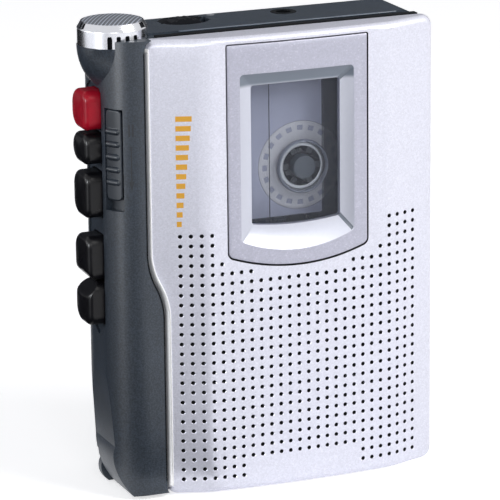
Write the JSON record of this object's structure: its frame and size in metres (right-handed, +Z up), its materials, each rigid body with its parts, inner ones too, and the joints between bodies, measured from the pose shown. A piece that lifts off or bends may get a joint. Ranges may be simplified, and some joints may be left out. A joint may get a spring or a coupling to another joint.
{
  "type": "cassette voice recorder",
  "caption": "Hand-held cassette voice recorder with hinged silver lid, window, push keys on its side, microphone at the top corner and a thumbwheel.",
  "frame": {"origin": "middle of the base of the box round the whole recorder", "axes": "+Z up along the cassette, +X from the keys to the hinge, +Y from the lid to the battery side"},
  "size_m": [0.0886, 0.0376, 0.1179],
  "materials": {
    "case_plastic": "fine moulded texture, dark blue-grey",
    "lid_silver": "sparkle silver lacquer",
    "trim_silver": "satin silver lacquer",
    "clear_pane": "clear acrylic",
    "record_red": "red gloss",
    "key_black": "black gloss",
    "mic_chrome": "bright chrome",
    "mesh_metal": "fine woven mesh",
    "steel": "zinc plated",
    "spring_steel": "polished",
    "flywheel_metal": "turned",
    "rubber_black": "matt",
    "nylon_white": "semi-gloss nylon",
    "nylon_black": "moulded",
    "cassette_smoke": "smoky translucent",
    "tape_brown": "coated film",
    "board_green": "resin board",
    "cone_paper": "paper",
    "cell_jacket": "plain jacket",
    "lamp_clear": "diffuse"
  },
  "bodies": {
    "root": {"front_frame": "case_plastic", "rear_cabinet": "case_plastic", "strap_lug": "case_plastic", "case_screws": "steel", "hinge_pins": "steel", "mic_cap": "mic_chrome", "mic_grille": "mesh_metal", "mic_capsule": "rubber_black", "key_bracket": "steel", "key_springs": "spring_steel", "deck_plate": "steel", "flywheel_bridge": "steel", "motor": "steel", "drive_belt": "rubber_black", "tape_run": "tape_brown", "cassette_front_shell": "cassette_smoke", "cassette_rear_shell": "cassette_smoke", "cassette_screws": "steel", "pressure_pad": "spring_steel", "volume_control": "steel", "circuit_board": "board_green", "plug_sockets": "nylon_black", "power_socket": "nylon_black", "record_lamp": "lamp_clear", "batteries": "cell_jacket", "battery_contacts": "spring_steel"},
    "lid": {"lid_cover": "lid_silver", "window_frame": "trim_silver", "window_pane": "clear_pane", "lid_inner_plate": "nylon_black", "lid_screws": "steel", "lid_catch": "nylon_black", "cassette_springs": "spring_steel", "speaker_basket": "steel", "speaker_cone": "cone_paper", "speaker_magnet": "steel"},
    "record_key": {"record_key": "record_red"},
    "stop_key": {"stop_key": "key_black"},
    "play_key": {"play_key": "key_black"},
    "rewind_key": {"rewind_key": "key_black"},
    "forward_key": {"forward_key": "key_black"},
    "pause_slider": {"pause_slider": "key_black"},
    "volume_wheel": {"volume_wheel": "nylon_black"},
    "battery_door": {"battery_door": "case_plastic"},
    "supply_reel": {"supply_spindle": "nylon_black", "supply_hub": "nylon_white"},
    "take_up_reel": {"take_up_spindle": "nylon_black", "take_up_hub": "nylon_white", "tape_pack": "tape_brown"},
    "flywheel": {"flywheel": "flywheel_metal", "capstan_shaft": "spring_steel"},
    "motor_pulley": {"motor_pulley": "flywheel_metal"},
    "idler_wheel": {"idler_wheel": "nylon_white"},
    "head_carriage": {"head_carriage": "steel", "record_play_head": "steel", "erase_head": "nylon_black"},
    "pinch_arm": {"pinch_arm": "steel"},
    "pinch_roller": {"pinch_roller": "rubber_black"},
    "upper_guide_roller": {"upper_guide_roller": "nylon_white"},
    "lower_guide_roller": {"lower_guide_roller": "nylon_white"}
  },
  "joints": [
    {"name": "lid_hinge", "type": "hinge", "parent": "root", "child": "lid", "pos_m": [0.04255, -0.0088, 0.0568], "axis": [0, 0, 1], "range_deg": [0, 90]},
    {"name": "record_key_press", "type": "slide", "parent": "root", "child": "record_key", "axis": [1, 0, 0], "range_m": [0, 0.0035], "stiffness_N_per_m": 250, "deforming": ["key_springs"]},
    {"name": "stop_key_press", "type": "slide", "parent": "root", "child": "stop_key", "axis": [1, 0, 0], "range_m": [0, 0.0035], "stiffness_N_per_m": 250, "deforming": ["key_springs"]},
    {"name": "play_key_press", "type": "slide", "parent": "root", "child": "play_key", "axis": [1, 0, 0], "range_m": [0, 0.0035], "stiffness_N_per_m": 250, "deforming": ["key_springs"]},
    {"name": "rewind_key_press", "type": "slide", "parent": "root", "child": "rewind_key", "axis": [1, 0, 0], "range_m": [0, 0.0035], "stiffness_N_per_m": 250, "deforming": ["key_springs"]},
    {"name": "forward_key_press", "type": "slide", "parent": "root", "child": "forward_key", "axis": [1, 0, 0], "range_m": [0, 0.0035], "stiffness_N_per_m": 250, "deforming": ["key_springs"]},
    {"name": "pause_slide", "type": "slide", "parent": "root", "child": "pause_slider", "axis": [0, 0, -1], "range_m": [0, 0.0022]},
    {"name": "volume_turn", "type": "hinge", "parent": "root", "child": "volume_wheel", "pos_m": [-0.01405, 0.0047, 0.1061], "axis": [0, 1, 0], "range_deg": [-140, 140]},
    {"name": "battery_door_slide", "type": "slide", "parent": "root", "child": "battery_door", "axis": [1, 0, 0], "range_m": [0, 0.006]},
    {"name": "supply_spin", "type": "hinge", "parent": "root", "child": "supply_reel", "pos_m": [0.01125, 0, 0.07795], "axis": [0, 1, 0], "continuous": true},
    {"name": "take_up_spin", "type": "hinge", "parent": "root", "child": "take_up_reel", "pos_m": [0.01125, 0, 0.03545], "axis": [0, 1, 0], "continuous": true},
    {"name": "flywheel_spin", "type": "hinge", "parent": "root", "child": "flywheel", "pos_m": [-0.02025, 0.01, 0.028], "axis": [0, 1, 0], "continuous": true},
    {"name": "pulley_spin", "type": "hinge", "parent": "root", "child": "motor_pulley", "pos_m": [0.016, 0.0128, 0.088], "axis": [0, 1, 0], "continuous": true},
    {"name": "idler_spin", "type": "hinge", "parent": "root", "child": "idler_wheel", "pos_m": [0.0005, 0.0083, 0.029], "axis": [0, 1, 0], "continuous": true},
    {"name": "head_slide", "type": "slide", "parent": "root", "child": "head_carriage", "axis": [1, 0, 0], "range_m": [0, 0.00275]},
    {"name": "pinch_swing", "type": "hinge", "parent": "root", "child": "pinch_arm", "pos_m": [-0.0305, 0, 0.016], "axis": [0, 1, 0], "range_deg": [0, 13.8]},
    {"name": "pinch_spin", "type": "hinge", "parent": "pinch_arm", "child": "pinch_roller", "pos_m": [-0.02995, -0.0046, 0.028], "axis": [0, 1, 0], "continuous": true},
    {"name": "upper_roller_spin", "type": "hinge", "parent": "root", "child": "upper_guide_roller", "pos_m": [-0.0184, -0.0045, 0.1021], "axis": [0, 1, 0], "continuous": true},
    {"name": "lower_roller_spin", "type": "hinge", "parent": "root", "child": "lower_guide_roller", "pos_m": [-0.0184, -0.0045, 0.0113], "axis": [0, 1, 0], "continuous": true}
  ],
  "couplings": [
    {"joint": "head_slide", "follows": "play_key_press", "ratio": 0.78571},
    {"joint": "pinch_swing", "follows": "play_key_press", "rad_per_m": 68.816},
    {"joint": "pulley_spin", "follows": "flywheel_spin", "ratio": 4.2459},
    {"joint": "idler_spin", "follows": "flywheel_spin", "ratio": -1.0918}
  ]
}
